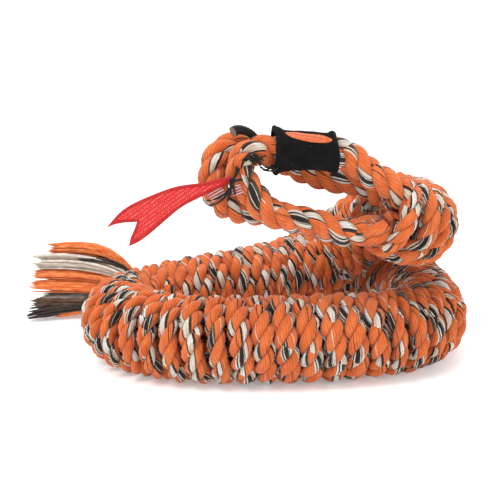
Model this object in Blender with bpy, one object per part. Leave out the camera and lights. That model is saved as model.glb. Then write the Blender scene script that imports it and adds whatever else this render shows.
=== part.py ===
"""Rope snake tug toy, coiled on the floor with its head raised.

Three parallel core ropes run the length of the body and a fourth rope is wound
tightly round them.  At the neck the ropes come out of the winding as two loops
lying side by side, which make the jaws; at the tail they are brushed out into a
tassel.  Lengths are metres, +Z is up, and +X is along the front run of the coil.
"""
import math

import bpy
import bmesh
from mathutils import Vector

MM = 0.001
GAP = 0.0003                     # clearance between touching solids
# Moves the coil so that the origin lies under the middle of its bounding box
FRAME_SHIFT = Vector((25.1, -4.6, 0)) * MM

# Driving dimensions
BODY_RADIUS = 0.025              # flat-to-centre radius of the wound body
BODY_SIDES = 12
BORE_RATIO = 0.55                # radius of the hollow inside the winding / body radius
CORE_RATIO = 0.205               # radius of one core rope / body radius
CORE_OFFSET_RATIO = 0.285        # distance of a core rope from the centreline / body radius
CORE_SIDES = 6
LOOP_RADIUS = 0.0078             # rope of the head loops
LOOP_SIDES = 8
SAMPLES_PER_SPAN = 3

# Centreline of the wound body in millimetres, from tail tip to neck, with its radius.
# The floor is z = 0; the tail tapers, and the last run climbs over the right side.
BODY_ROUTE = [
    (-98, 60, 14.5, 14.5), (-76, 62, 17, 17), (-50, 66, 20, 20), (-20, 75, 22, 22),
    (12, 87, 25, 25), (42, 92, 25, 25), (71, 81, 25, 25), (90, 51, 25, 25),
    (95, 14, 25, 25), (95, -17, 25, 25), (89, -43, 25, 25), (69, -62.5, 25, 25),
    (39, -73, 25, 25), (8, -79, 25, 25), (-24, -81.5, 25, 25), (-42, -80, 25, 25),
    (-60, -75.5, 25, 25), (-77, -67, 25, 25), (-88.5, -54.5, 25.2, 25), (-92.5, -40.5, 25.8, 25),
    (-88, -26.5, 26.8, 25), (-76.5, -16.5, 28.2, 25), (-59, -8, 30.5, 25), (-36, 1.5, 33, 25),
    (-13, 14, 35, 25), (10, 28, 38, 25), (32, 39, 46, 25), (53, 37, 62, 25),
    (71, 20, 78, 25), (80, -6, 84, 25), (83, -32, 86.5, 25), (80, -55, 88, 25),
    (71, -71, 92.5, 24.4), (57, -79, 100.5, 23.6),
]
# First and last route point of each stretch of the winding
SECTIONS = {
    "tail_winding": (0, 2),
    "tail_run_winding": (2, 4),
    "rear_winding": (4, 6),
    "rear_bend_winding": (6, 8),
    "right_winding": (8, 10),
    "right_bend_winding": (10, 12),
    "front_winding": (12, 16),
    "left_bend_winding_1": (16, 18),
    "left_bend_winding_2": (18, 20),
    "left_bend_winding_3": (20, 22),
    "back_run_winding": (22, 25),
    "upper_bend_winding_1": (25, 27),
    "upper_bend_winding_2": (27, 29),
    "upper_bend_winding_3": (29, 31),
    "neck_winding": (31, 33),
}
NECK_HINGE_POINT = 25            # route point where the raised end of the body bends
NECK_LIFT = math.radians(24)
NECK_HINGE = Vector(BODY_ROUTE[NECK_HINGE_POINT][:3]) * MM
HEAD_HINGE = Vector(BODY_ROUTE[-1][:3]) * MM

# Head loops, centrelines in millimetres, from the upper leg at the neck round to the lower leg
NEAR_LOOP = [
    (61.5, -84, 114.5), (54, -84.2, 118.5), (46, -84.3, 124.5),
    (38, -84.3, 131.2), (28, -85.5, 132), (18, -87, 132.5), (8, -88.5, 132.9), (-1, -90, 133.3),
    (-9, -92, 133.5), (-15, -93.8, 131), (-18.6, -95.3, 126), (-17.8, -96.4, 119.8), (-14.2, -97, 114.2),
    (-10.2, -97.2, 108.6), (-5.5, -96.8, 103), (1.5, -95.3, 98.9), (10, -93.2, 96.8), (20, -91, 94.5),
    (28, -89.5, 92), (35, -88, 89),
]
FAR_LOOP = [
    (50, -67.5, 113), (41, -66, 113.5), (30, -64, 115), (16, -63.5, 119.5), (3, -64.8, 126),
    (-9, -69.5, 131), (-19, -76.5, 134), (-28, -82.5, 132.3), (-33, -87.3, 124), (-33, -88.8, 113.5),
    (-28.5, -86, 104.5), (-20, -80, 99.5), (-9, -75.8, 97.5), (2, -74.3, 95.5), (14, -73, 92.5),
    (23, -71.7, 89.6), (31, -70.6, 86.6),
]

# Sleeve on the upper near leg
SLEEVE_START = 2.0 * MM          # x of its front edge
SLEEVE_END = 29.5 * MM
SLEEVE_HALF_HEIGHT = 0.0112      # at the front edge
SLEEVE_HALF_DEPTH = 0.0110
SLEEVE_TAPER = 0.965             # size at the rear edge / size at the front edge
SLEEVE_WALL = 0.0016
HEM_RADIUS = 0.0015
SLEEVE_SIDES = 16
# Embroidered oval on the sleeve
PATCH_HALF_LENGTH = 0.0125
PATCH_HALF_WIDTH = 0.0034
PATCH_THICKNESS = 0.0009
PATCH_RISE = 0.0052              # above the middle of the sleeve
PATCH_STANDOFF = 0.0111          # from the middle of the sleeve towards the viewer's side
PATCH_LEAN = 0.55                # upward lean of its face, as rise over run
PATCH_SIDES = 16

# Tongue outline in its own plane: along its length and across it, millimetres
TONGUE_ROOT = Vector((-22.6, -104.6, 119.6)) * MM
TONGUE_TILT = math.radians(24)
TONGUE_THICKNESS = 0.0022
TONGUE_OUTLINE = [
    (0, 1.8), (8, 3.0), (15.9, 5.0), (26.9, 8.0), (39.2, 9.2), (51.6, 9.2), (61.1, 7.6), (71.3, 3.0),
    (66.5, 2.9), (61, 1.7), (54.7, -0.4), (57.7, -3.5), (61.6, -6.9), (64.6, -10.8), (57.9, -10.5),
    (49.5, -8.5), (39.3, -5.4), (31.7, -3.2), (25, -2.2), (13.5, -1.9), (0, -1.8),
]

# Tassel bundles: tip position in millimetres, rise of the arch, thickness and colour name
TAIL_TIP = Vector((-98, 60, 14.5)) * MM
TASSEL_BUNDLES = [
    ("tassel_bundle_1", (-168, 60, 45), 13, 4.4, "orange"),
    ("tassel_bundle_2", (-170, 51, 31), 9, 4.4, "orange"),
    ("tassel_bundle_3", (-169, 46.5, 20), 5, 4.4, "orange"),
    ("tassel_bundle_4", (-168, 49, 8), 2, 4.2, "brown"),
    ("tassel_bundle_5", (-166, 60, 4.6), 0, 3.8, "orange"),
    ("tassel_bundle_6", (-163, 71, 12), 3, 4.2, "brown"),
    ("tassel_bundle_7", (-152, 75, 25), 5, 4.2, "black"),
    ("tassel_bundle_8", (-170, 70, 37), 8, 4.4, "cream"),
]
TASSEL_SIDES = 6
TASSEL_STANDOFF = 0.0085         # start of the bundles past the tail tip
ROOT_SPREAD = 0.0088             # from the tail axis to the root of each bundle
ROOT_THINNING = 0.5              # thickness of a bundle at its root / at its tip
ARCH_POSITION = 0.45             # where along a bundle its arch is highest

# Thread whipping round the tail end
WHIPPING_LENGTH = 0.0015
WHIPPING_RADII = (0.0150, 0.0143)
WHIPPING_BORE = 0.0128

# Small sewn pieces of the head: colour, centre and size in millimetres, tilt in degrees
HEAD_TRIMS = {
    "crown_tape": ("black", (-16, -85, 145.8), (17, 8, 4), 14),
    "cheek_knot": ("black", (-10.8, -104.5, 129.5), (9, 3.0, 6), 0),
    "mouth_label_left": ("cream", (-30, -99.3, 108.5), (9, 1.6, 6), -28),
    "mouth_label_right": ("cream", (-20, -107.2, 113.5), (6, 1.6, 5), 0),
}
TRIM_BEVEL_RATIO = 0.22          # corner cut / thinnest side

COLOURS = {
    "orange": (0.83, 0.19, 0.045), "cream": (0.78, 0.73, 0.66), "black": (0.02, 0.018, 0.016),
    "brown": (0.09, 0.05, 0.035), "red": (0.78, 0.035, 0.03), "patch": (0.9, 0.25, 0.05),
}


def clear_scene():
    """Remove every object so that the script starts from nothing."""
    for item in list(bpy.data.objects):
        bpy.data.objects.remove(item, do_unlink=True)


def material(colour_name, roughness=0.9):
    """Return the plain shader of a named colour."""
    name = "mat_" + colour_name
    found = bpy.data.materials.get(name)
    if found:
        return found
    made = bpy.data.materials.new(name)
    made.use_nodes = True
    shader = made.node_tree.nodes["Principled BSDF"]
    shader.inputs["Base Color"].default_value = (*COLOURS[colour_name], 1.0)
    shader.inputs["Roughness"].default_value = roughness
    shader.inputs["Metallic"].default_value = 0.0
    return made


def add_object(name, bm, colour_name, origin=Vector((0, 0, 0))):
    """Make a named object from a bmesh in the coil's own space, with its origin at a point."""
    bmesh.ops.recalc_face_normals(bm, faces=bm.faces)
    bmesh.ops.translate(bm, verts=bm.verts, vec=-origin)
    mesh = bpy.data.meshes.new(name)
    bm.to_mesh(mesh)
    bm.free()
    mesh.shade_smooth()
    mesh.set_sharp_from_angle(angle=math.radians(35))
    item = bpy.data.objects.new(name, mesh)
    item.location = origin + FRAME_SHIFT
    item.data.materials.append(material(colour_name))
    bpy.context.collection.objects.link(item)
    return item


def spline_point(p0, p1, p2, p3, t):
    """Catmull-Rom interpolation between p1 and p2."""
    square = t * t
    cube = square * t
    return 0.5 * ((2 * p1) + (p2 - p0) * t + (2 * p0 - 5 * p1 + 4 * p2 - p3) * square
                  + (3 * p1 - p0 - 3 * p2 + p3) * cube)


def smooth_route(points, samples):
    """Pass a smooth curve through the points; each one is a Vector of any size."""
    ends = [2 * points[0] - points[1]] + list(points) + [2 * points[-1] - points[-2]]
    route = []
    for index in range(len(points) - 1):
        for step in range(samples):
            route.append(spline_point(*ends[index:index + 4], step / samples))
    route.append(points[-1].copy())
    return route


def tangents(route):
    """Unit direction of travel at each point of a route."""
    result = []
    for index in range(len(route)):
        before = route[max(index - 1, 0)]
        after = route[min(index + 1, len(route) - 1)]
        result.append((after - before).normalized())
    return result


def frame_at(direction, reference):
    """Two unit vectors across a direction; the second one lies nearest the reference."""
    up = (reference - reference.dot(direction) * direction).normalized()
    return direction.cross(up), up


def ring_vertices(bm, centre, side, up, radii, sides, turn=0.5):
    """Add a regular ring of vertices whose flats are at the given half width and height."""
    corner = 1.0 / math.cos(math.pi / sides)
    ring = []
    for index in range(sides):
        angle = 2 * math.pi * (index + turn) / sides
        offset = side * (math.sin(angle) * radii[0] * corner)
        offset += up * (math.cos(angle) * radii[1] * corner)
        ring.append(bm.verts.new(centre + offset))
    return ring


def bridge(bm, first, second):
    """Join two rings of vertices with a band of quads."""
    count = len(first)
    for index in range(count):
        following = (index + 1) % count
        bm.faces.new((first[index], first[following], second[following], second[index]))


def sweep(route, radii, sides, reference, directions=None, bore=None, cuts=(None, None)):
    """Sweep a ring along a route into a solid, or into a tube when a bore is given.

    radii and bore hold (half width, half height) at each point.  A cut is a function that
    says how far an end vertex at some offset from its centre is moved along the route.
    """
    bm = bmesh.new()
    directions = directions or tangents(route)
    skins = [radii] if bore is None else [radii, bore]
    shells = []
    for skin in skins:
        rings = []
        for centre, direction, size in zip(route, directions, skin):
            side, up = frame_at(direction, reference)
            rings.append(ring_vertices(bm, centre, side, up, size, sides))
        for end, cut in zip((0, -1), cuts):
            if cut:
                for vertex in rings[end]:
                    vertex.co += directions[end] * cut(vertex.co - route[end])
        for first, second in zip(rings, rings[1:]):
            bridge(bm, first, second)
        shells.append(rings)
    if bore is None:
        bm.faces.new(shells[0][0])
        bm.faces.new(shells[0][-1])
    else:
        bridge(bm, shells[0][0], shells[1][0])
        bridge(bm, shells[0][-1], shells[1][-1])
    return bm


def body_curve():
    """Sampled centreline of the body, its directions and its radius at each sample."""
    samples = smooth_route([Vector(point) * MM for point in BODY_ROUTE], SAMPLES_PER_SPAN)
    route = [Vector(sample[:3]) for sample in samples]
    radii = [sample[3] for sample in samples]
    return route, tangents(route), radii


def hinge_cut(sign):
    """Wedge taken off the top half of the body at the neck hinge, so that it can close."""
    slope = math.tan(NECK_LIFT / 2)
    return lambda offset: sign * (GAP + max(offset.z, 0.0) * slope)


def build_winding(route, directions, radii):
    """Outer winding, as tube sections that meet end to end."""
    up = Vector((0, 0, 1))
    for name, (first, last) in SECTIONS.items():
        start = first * SAMPLES_PER_SPAN
        stop = last * SAMPLES_PER_SPAN + 1
        cuts = [lambda offset: GAP / 2, lambda offset: -GAP / 2]
        if first == NECK_HINGE_POINT:
            cuts[0] = hinge_cut(1)
        if last == NECK_HINGE_POINT:
            cuts[1] = hinge_cut(-1)
        outer = [(radius, radius) for radius in radii[start:stop]]
        inner = [(radius * BORE_RATIO, radius * BORE_RATIO) for radius in radii[start:stop]]
        bm = sweep(route[start:stop], outer, BODY_SIDES, up, directions[start:stop], inner, cuts)
        add_object(name, bm, "orange", NECK_HINGE if first >= NECK_HINGE_POINT else Vector((0, 0, 0)))


def build_cores(route, directions, radii):
    """Three core ropes inside the winding, parted at the neck hinge."""
    up = Vector((0, 0, 1))
    hinge = NECK_HINGE_POINT * SAMPLES_PER_SPAN
    for prefix, start, stop in (("core_rope", 0, hinge + 1), ("neck_core_rope", hinge, len(route))):
        for number in range(3):
            angle = 2 * math.pi * number / 3
            centres = []
            for centre, direction, radius in zip(route[start:stop], directions[start:stop],
                                                 radii[start:stop]):
                side, top = frame_at(direction, up)
                offset = radius * CORE_OFFSET_RATIO
                centres.append(centre + side * math.sin(angle) * offset + top * math.cos(angle) * offset)
            sizes = [(radius * CORE_RATIO,) * 2 for radius in radii[start:stop]]
            slope = math.tan(NECK_LIFT / 2)
            lift = BODY_RADIUS * CORE_OFFSET_RATIO * math.cos(angle) + BODY_RADIUS * CORE_RATIO
            clearance = GAP + max(lift, 0.0) * slope
            cuts = [None, None]
            if start == hinge:
                cuts[0] = lambda offset, amount=clearance: amount
            else:
                cuts[1] = lambda offset, amount=clearance: -amount
            bm = sweep(centres, sizes, CORE_SIDES, up, directions[start:stop], None, cuts)
            origin = NECK_HINGE if start == hinge else Vector((0, 0, 0))
            add_object(f"{prefix}_{'abc'[number]}", bm, "cream", origin)


def build_loop(name, points):
    """One rope loop of the head."""
    route = smooth_route([Vector(point) * MM for point in points], SAMPLES_PER_SPAN)
    sizes = [(LOOP_RADIUS, LOOP_RADIUS)] * len(route)
    add_object(name, sweep(route, sizes, LOOP_SIDES, Vector((0, 1, 0.25))), "orange", HEAD_HINGE)


def leg_point(x):
    """Point of the straight upper leg of the near loop at some x."""
    far, near = (Vector(NEAR_LOOP[index]) * MM for index in (4, 7))
    return far + (near - far) * ((x - far.x) / (near.x - far.x))


def build_sleeve():
    """Fabric sleeve with a rolled hem at both ends and an oval embroidered patch."""
    up = Vector((0, 0, 1))
    start = leg_point(SLEEVE_START)
    end = leg_point(SLEEVE_END)
    axis = (end - start).normalized()
    centre = (start + end) / 2
    front = (SLEEVE_HALF_DEPTH, SLEEVE_HALF_HEIGHT)
    rear = (SLEEVE_HALF_DEPTH * SLEEVE_TAPER, SLEEVE_HALF_HEIGHT * SLEEVE_TAPER)
    outer = [front, rear]
    inner = [(size[0] - SLEEVE_WALL, size[1] - SLEEVE_WALL) for size in outer]
    bm = sweep([start, end], outer, SLEEVE_SIDES, up, [axis] * 2, inner)
    add_object("sleeve", bm, "black", centre)
    ends = (("sleeve_front_hem", start, -1, front), ("sleeve_rear_hem", end, 1, rear))
    for name, place, sign, outer in ends:
        inner = (outer[0] - SLEEVE_WALL, outer[1] - SLEEVE_WALL)
        near = place + axis * sign * GAP
        middle = near + axis * sign * HEM_RADIUS
        far = near + axis * sign * HEM_RADIUS * 2
        swell = (outer[0] + HEM_RADIUS / 2, outer[1] + HEM_RADIUS / 2)
        bm = sweep([near, middle, far], [outer, swell, outer], SLEEVE_SIDES, up, [axis] * 3, [inner] * 3)
        add_object(name, bm, "black", centre)
    build_patch(centre, axis)


def build_patch(centre, axis):
    """Oval of raised stitching on the viewer's side of the sleeve."""
    side, up = frame_at(axis, Vector((0, 0, 1)))
    facing = side if side.y < 0 else -side
    middle = centre + facing * PATCH_STANDOFF + up * PATCH_RISE
    lean = (facing + up * PATCH_LEAN).normalized()
    across = lean.cross(axis)
    bm = bmesh.new()
    rings = []
    for depth in (0.0, PATCH_THICKNESS):
        ring = []
        for index in range(PATCH_SIDES):
            angle = 2 * math.pi * index / PATCH_SIDES
            offset = axis * math.cos(angle) * PATCH_HALF_LENGTH
            offset += across * math.sin(angle) * PATCH_HALF_WIDTH
            ring.append(bm.verts.new(middle + offset + lean * depth))
        rings.append(ring)
    bridge(bm, *rings)
    bm.faces.new(rings[0])
    bm.faces.new(rings[1])
    add_object("sleeve_patch", bm, "patch", centre)


def build_tongue():
    """Forked flat tongue, hinged at its root."""
    along = Vector((-math.cos(TONGUE_TILT), 0, -math.sin(TONGUE_TILT)))
    across = Vector((-math.sin(TONGUE_TILT), 0, math.cos(TONGUE_TILT)))
    bm = bmesh.new()
    layers = []
    for depth in (-TONGUE_THICKNESS / 2, TONGUE_THICKNESS / 2):
        layer = []
        for distance, offset in TONGUE_OUTLINE:
            place = TONGUE_ROOT + (along * distance + across * offset) * MM
            layer.append(bm.verts.new(place + Vector((0, depth, 0))))
        layers.append(layer)
    bridge(bm, *layers)
    bmesh.ops.triangulate(bm, faces=[bm.faces.new(layer) for layer in layers])
    add_object("tongue", bm, "red", TONGUE_ROOT)


def build_trim(name, colour_name, centre, size, tilt):
    """Small sewn piece: a slab with cut corners, tilted about Y."""
    tilt = math.radians(tilt)
    bm = bmesh.new()
    bmesh.ops.create_cube(bm, size=1.0)
    bmesh.ops.scale(bm, verts=bm.verts, vec=Vector(size) * MM)
    cut = min(size) * TRIM_BEVEL_RATIO * MM
    bmesh.ops.bevel(bm, geom=bm.edges[:], offset=cut, segments=1, affect="EDGES")
    for vertex in bm.verts:
        x, z = vertex.co.x, vertex.co.z
        vertex.co.x = x * math.cos(tilt) + z * math.sin(tilt)
        vertex.co.z = z * math.cos(tilt) - x * math.sin(tilt)
    bmesh.ops.translate(bm, verts=bm.verts, vec=Vector(centre) * MM)
    add_object(name, bm, colour_name, HEAD_HINGE)


def build_tassel():
    """Bundles of brushed-out yarn that spring from the tail."""
    root = TAIL_TIP + Vector((-TASSEL_STANDOFF, 0, 0))
    count = len(TASSEL_BUNDLES)
    for number, (name, tip, rise, thickness, colour_name) in enumerate(TASSEL_BUNDLES):
        angle = math.pi * (0.5 + 2 * number / count)
        start = root + Vector((0, math.cos(angle), math.sin(angle))) * ROOT_SPREAD
        tip = Vector(tip) * MM
        middle = start.lerp(tip, ARCH_POSITION) + Vector((0, 0, rise * MM))
        route = smooth_route([start, middle, tip], SAMPLES_PER_SPAN)
        last = len(route) - 1
        sizes = []
        for step in range(last + 1):
            growth = ROOT_THINNING + (1 - ROOT_THINNING) * step / last
            sizes.append((thickness * MM * growth,) * 2)
        bm = sweep(route, sizes, TASSEL_SIDES, Vector((0, 0, 1)))
        add_object(name, bm, colour_name, TAIL_TIP)


def build_whipping():
    """Thread whipping round the tapered tail end."""
    tip = TAIL_TIP
    ahead = (Vector(BODY_ROUTE[1][:3]) * MM - tip).normalized()
    start = tip - ahead * (GAP + WHIPPING_LENGTH)
    end = tip - ahead * GAP
    outer = [WHIPPING_RADII] * 2
    inner = [(WHIPPING_BORE, WHIPPING_BORE)] * 2
    bm = sweep([start, end], outer, BODY_SIDES, Vector((0, 0, 1)), [ahead] * 2, inner)
    add_object("tail_whipping", bm, "black")


def main():
    clear_scene()
    curve = body_curve()
    build_winding(*curve)
    build_cores(*curve)
    build_loop("near_jaw_loop", NEAR_LOOP)
    build_loop("far_jaw_loop", FAR_LOOP)
    build_sleeve()
    build_tongue()
    build_tassel()
    build_whipping()
    for name, trim in HEAD_TRIMS.items():
        build_trim(name, *trim)


main()
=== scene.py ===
"""Visual model of a coiled rope snake tug toy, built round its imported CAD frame."""
import math
import random

import bpy
import bmesh
import numpy as np
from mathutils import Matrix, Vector
from mathutils.geometry import delaunay_2d_cdt


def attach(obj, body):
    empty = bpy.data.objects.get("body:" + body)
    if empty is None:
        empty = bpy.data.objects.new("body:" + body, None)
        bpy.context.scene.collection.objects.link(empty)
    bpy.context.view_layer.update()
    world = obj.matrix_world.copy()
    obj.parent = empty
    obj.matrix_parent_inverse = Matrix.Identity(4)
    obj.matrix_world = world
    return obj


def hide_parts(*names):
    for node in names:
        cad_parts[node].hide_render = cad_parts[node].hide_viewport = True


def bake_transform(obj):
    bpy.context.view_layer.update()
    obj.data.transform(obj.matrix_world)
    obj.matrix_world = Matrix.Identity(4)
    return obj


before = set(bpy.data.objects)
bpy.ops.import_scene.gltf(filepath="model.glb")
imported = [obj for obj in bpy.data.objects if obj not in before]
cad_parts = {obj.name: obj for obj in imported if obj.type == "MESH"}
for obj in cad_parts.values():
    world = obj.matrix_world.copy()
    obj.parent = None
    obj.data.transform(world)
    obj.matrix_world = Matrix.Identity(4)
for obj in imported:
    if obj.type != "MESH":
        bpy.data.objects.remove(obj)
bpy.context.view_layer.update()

MM = 0.001
SHIFT = np.array((25.1, -4.6, 0.0)) * MM
TAU = 2 * math.pi

# Centreline of the wound body, millimetres, from tail to neck, with its radius (as in the CAD)
BODY_ROUTE = [
    (-98, 60, 14.5, 14.5), (-76, 62, 17, 17), (-50, 66, 20, 20), (-20, 75, 22, 22),
    (12, 87, 25, 25), (42, 92, 25, 25), (71, 81, 25, 25), (90, 51, 25, 25),
    (95, 14, 25, 25), (95, -17, 25, 25), (89, -43, 25, 25), (69, -62.5, 25, 25),
    (39, -73, 25, 25), (8, -79, 25, 25), (-24, -81.5, 25, 25), (-42, -80, 25, 25),
    (-60, -75.5, 25, 25), (-77, -67, 25, 25), (-88.5, -54.5, 25.2, 25), (-92.5, -40.5, 25.8, 25),
    (-88, -26.5, 26.8, 25), (-76.5, -16.5, 28.2, 25), (-59, -8, 30.5, 25), (-36, 1.5, 33, 25),
    (-13, 14, 35, 25), (10, 28, 38, 25), (32, 39, 46, 25), (53, 37, 62, 25),
    (71, 20, 78, 25), (80, -6, 84, 25), (83, -32, 86.5, 25), (80, -55, 88, 25),
    (71, -71, 92.5, 24.4), (57, -79, 100.5, 23.6),
]
# Route points where one piece of the wound rope hands over to the next
COIL_CUTS = (0, 4, 8, 12, 16, 19, 22, 24)
HINGE_POINT = 25
HINGE_PIECE_END = 27
# Head loops, millimetres, with the ends led into the neck
NEAR_LOOP = [
    (76, -80.5, 98), (69, -82.5, 108.5), (61.5, -84, 114.5), (54, -84.2, 118.5), (46, -84.3, 124.5),
    (38, -84.3, 131.2), (28, -85.5, 132), (18, -87, 132.5), (8, -88.5, 132.9), (-1, -90, 133.3),
    (-9, -92, 133.5), (-15, -93.8, 131), (-18.6, -95.3, 126), (-17.8, -96.4, 119.8), (-14.2, -97, 114.2),
    (-10.2, -97.2, 108.6), (-5.5, -96.8, 103), (1.5, -95.3, 98.9), (10, -93.2, 96.8), (20, -91, 94.5),
    (28, -89.5, 92), (35, -88, 89), (44, -84.5, 88), (54, -81, 89), (64, -79, 87),
]
FAR_LOOP = [
    (66, -73, 97), (57.5, -70.5, 107.5), (50, -67.5, 113), (41, -66, 113.5), (30, -64, 115),
    (16, -63.5, 119.5), (3, -64.8, 126), (-9, -69.5, 131), (-19, -76.5, 134), (-28, -82.5, 132.3),
    (-33, -87.3, 124), (-33, -88.8, 113.5), (-28.5, -86, 104.5), (-20, -80, 99.5), (-9, -75.8, 97.5),
    (2, -74.3, 95.5), (14, -73, 92.5), (23, -71.7, 89.6), (31, -70.6, 86.6), (41, -71.5, 86),
    (52, -73, 88), (62, -75, 88),
]

ROPE_RADIUS = 6.5 * MM           # wound rope
ROPE_SPACING = 12.3 * MM
LAY_LENGTH = 28.0 * MM           # length of one turn of the three plies
LOOP_ROPE_RADIUS = 7.9 * MM
LOOP_LAY_LENGTH = 30.0 * MM
YARN_TURNS = 2.155               # turns of the yarns in a ply for each turn of the plies


# ---------------------------------------------------------------- camera

CAMERA_PLACE = (0.0251, -0.5896, 0.185)
CAMERA_LENS = 66.96              # mm, on a 36 mm wide sensor
CAMERA_PITCH = math.radians(77.9)
CAMERA_YAW = math.atan(25 / 930)

camera_data = bpy.data.cameras.new("camera")
camera_data.lens = CAMERA_LENS
camera_data.sensor_width = 36.0
camera_data.clip_start = 0.01
camera = bpy.data.objects.new("camera", camera_data)
camera.location = CAMERA_PLACE
camera.rotation_euler = (CAMERA_PITCH, 0.0, CAMERA_YAW)
bpy.context.scene.collection.objects.link(camera)
bpy.context.scene.camera = camera


# ---------------------------------------------------------------- curves

def unit(vectors):
    return vectors / np.linalg.norm(vectors, axis=-1, keepdims=True)


def catmull(points, samples):
    """Smooth curve through the points, with so many samples for each span."""
    pts = np.array(points, float)
    ends = np.vstack((2 * pts[0] - pts[1], pts, 2 * pts[-1] - pts[-2]))
    t = np.arange(samples)[:, None] / samples
    rows = []
    for i in range(len(pts) - 1):
        p0, p1, p2, p3 = ends[i:i + 4]
        rows.append(0.5 * (2 * p1 + (p2 - p0) * t + (2 * p0 - 5 * p1 + 4 * p2 - p3) * t ** 2
                           + (3 * p1 - p0 - 3 * p2 + p3) * t ** 3))
    rows.append(pts[-1:])
    return np.vstack(rows)


def arc_length(points):
    steps = np.linalg.norm(np.diff(points, axis=0), axis=1)
    return np.concatenate(([0.0], np.cumsum(steps)))


def resample(points, count):
    length = arc_length(points)
    at = np.linspace(0, length[-1], count)
    return np.column_stack([np.interp(at, length, points[:, k]) for k in range(points.shape[1])])


def transport_frames(points):
    """Two unit vectors across a curve, carried along it without turning."""
    direction = unit(np.gradient(points, axis=0))
    start = np.array((0.0, 0.0, 1.0))
    if abs(direction[0][2]) > 0.9:
        start = np.array((0.0, 1.0, 0.0))
    first = [unit(start - (start @ direction[0]) * direction[0])]
    for i in range(1, len(points)):
        carried = first[-1] - (first[-1] @ direction[i]) * direction[i]
        first.append(unit(carried))
    first = np.array(first)
    return direction, first, np.cross(direction, first)


def smooth_path(points, samples=8):
    """Smooth curve in metres through points in millimetres."""
    return catmull(np.array(points), samples) * MM + SHIFT


def sweep(path, a, b, across, upward):
    """Rings round a path, from the offsets of their points along a and along b."""
    return path[:, None, :] + (a[:, None, :] * across[..., None] + b[:, None, :] * upward[..., None])


def running_mean(values, half):
    """Mean of each value and so many neighbours on each side."""
    count = 2 * half + 1
    return np.convolve(np.pad(values, half, mode="edge"), np.ones(count) / count, mode="valid")


def smooth_noise(count, knots, seed):
    """Smooth random values in -1 to 1 along count samples, with so many knots."""
    values = np.random.RandomState(seed).uniform(-1, 1, knots + 1)
    at = np.linspace(0, knots, count)
    low = np.clip(at.astype(int), 0, knots - 1)
    t = at - low
    t = t * t * (3 - 2 * t)
    return values[low] * (1 - t) + values[low + 1] * t


# ---------------------------------------------------------------- meshes

class Build:
    """Collects grids of vertices, with two UV maps, into one mesh."""

    def __init__(self):
        self.verts, self.faces, self.yarn, self.info = [], [], [], []
        self.count = 0

    def face(self, corners, yarn, info):
        self.faces.append(corners)
        self.yarn.append(np.array(yarn, float))
        self.info.append(np.array(info, float))

    def tube(self, rings, u_start, v, tag, outward, caps=True):
        """rings is (samples, sides, 3); u_start and v are per sample; outward is per side."""
        rows, sides, _ = rings.shape
        base = self.count
        self.verts.append(rings.reshape(-1, 3))
        self.count += rows * sides
        i, j = np.meshgrid(np.arange(rows - 1), np.arange(sides), indexing="ij")
        i, j = i.ravel(), j.ravel()
        k = (j + 1) % sides
        here, ahead = base + i * sides, base + (i + 1) * sides
        quads = np.column_stack((here + j, here + k, ahead + k, ahead + j))
        u = [u_start[i] + j / sides, u_start[i] + (j + 1) / sides,
             u_start[i + 1] + (j + 1) / sides, u_start[i + 1] + j / sides]
        w = [v[i], v[i], v[i + 1], v[i + 1]]
        q = [outward[j], outward[k], outward[k], outward[j]]
        self.faces.extend(quads.tolist())
        self.yarn.append(np.stack((np.column_stack(u), np.column_stack(w)), axis=2).reshape(-1, 2))
        tags = np.full((len(quads), 4), tag)
        self.info.append(np.stack((tags, np.column_stack(q)), axis=2).reshape(-1, 2))
        if caps:
            for row, order in ((0, range(sides - 1, -1, -1)), (rows - 1, range(sides))):
                self.face([base + row * sides + s for s in order],
                          [(u_start[row] + s / sides, v[row]) for s in order],
                          [(tag, outward[s]) for s in order])

    def object(self, name, material):
        mesh = bpy.data.meshes.new(name)
        verts = np.vstack(self.verts)
        loops = np.array([v for face in self.faces for v in face], np.int32)
        totals = np.array([len(face) for face in self.faces], np.int32)
        mesh.vertices.add(len(verts))
        mesh.vertices.foreach_set("co", verts.astype(np.float32).ravel())
        mesh.loops.add(len(loops))
        mesh.loops.foreach_set("vertex_index", loops)
        mesh.polygons.add(len(totals))
        starts = np.concatenate(([0], np.cumsum(totals)[:-1])).astype(np.int32)
        mesh.polygons.foreach_set("loop_start", starts)
        mesh.update(calc_edges=True)
        for label, data in (("yarn", self.yarn), ("info", self.info)):
            layer = mesh.uv_layers.new(name=label)
            layer.data.foreach_set("uv", np.vstack(data).astype(np.float32).ravel())
        mesh.validate()
        mesh.polygons.foreach_set("use_smooth", np.full(len(totals), True))
        mesh.update()
        item = bpy.data.objects.new(name, mesh)
        mesh.materials.append(material)
        bpy.context.scene.collection.objects.link(item)
        return item


def clean(item, merge=0.0):
    """Merge doubled vertices if asked, drop loose ones, and turn the faces of a closed mesh outward."""
    bm = bmesh.new()
    bm.from_mesh(item.data)
    if merge:
        bmesh.ops.remove_doubles(bm, verts=bm.verts, dist=merge)
    bmesh.ops.delete(bm, geom=[vert for vert in bm.verts if not vert.link_faces], context="VERTS")
    bmesh.ops.recalc_face_normals(bm, faces=bm.faces)
    bm.to_mesh(item.data)
    bm.free()
    return item


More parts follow.
